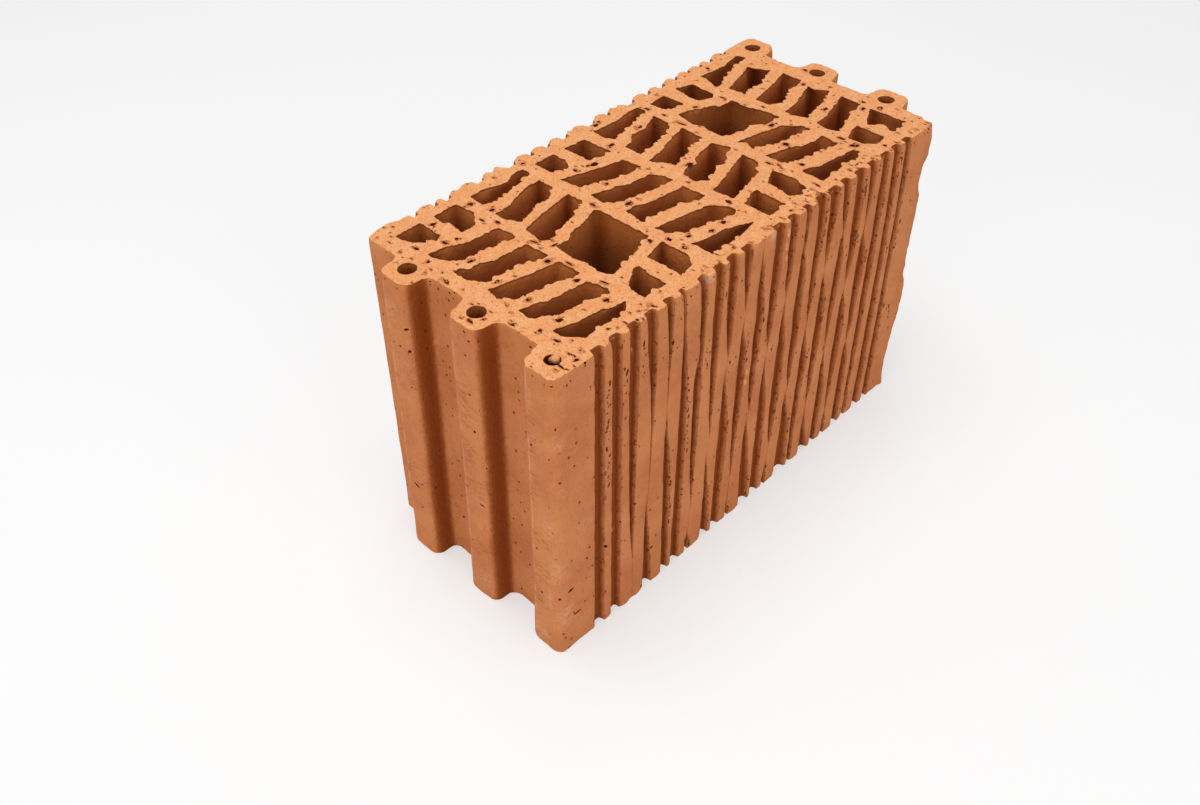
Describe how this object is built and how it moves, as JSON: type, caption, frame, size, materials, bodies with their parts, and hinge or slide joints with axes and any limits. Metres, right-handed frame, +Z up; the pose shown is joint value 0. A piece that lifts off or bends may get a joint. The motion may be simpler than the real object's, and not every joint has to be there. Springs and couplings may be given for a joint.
{
  "type": "hollow clay block",
  "caption": "upright fired clay block with through cells between slanted webs, large grip cells, tongued ends and grooved long faces, for laid walls",
  "frame": {"origin": "middle of the bottom bed face, on the floor", "axes": "X along the block's length towards the next block, Y across its width, Z up along the cells"},
  "size_m": [0.311, 0.14, 0.19],
  "materials": {
    "fired_clay": "matt fired terracotta, wire-cut faces paler and grainy, inner cell walls darker"
  },
  "bodies": {
    "root": {"clay_block": "fired_clay"}
  },
  "joints": []
}
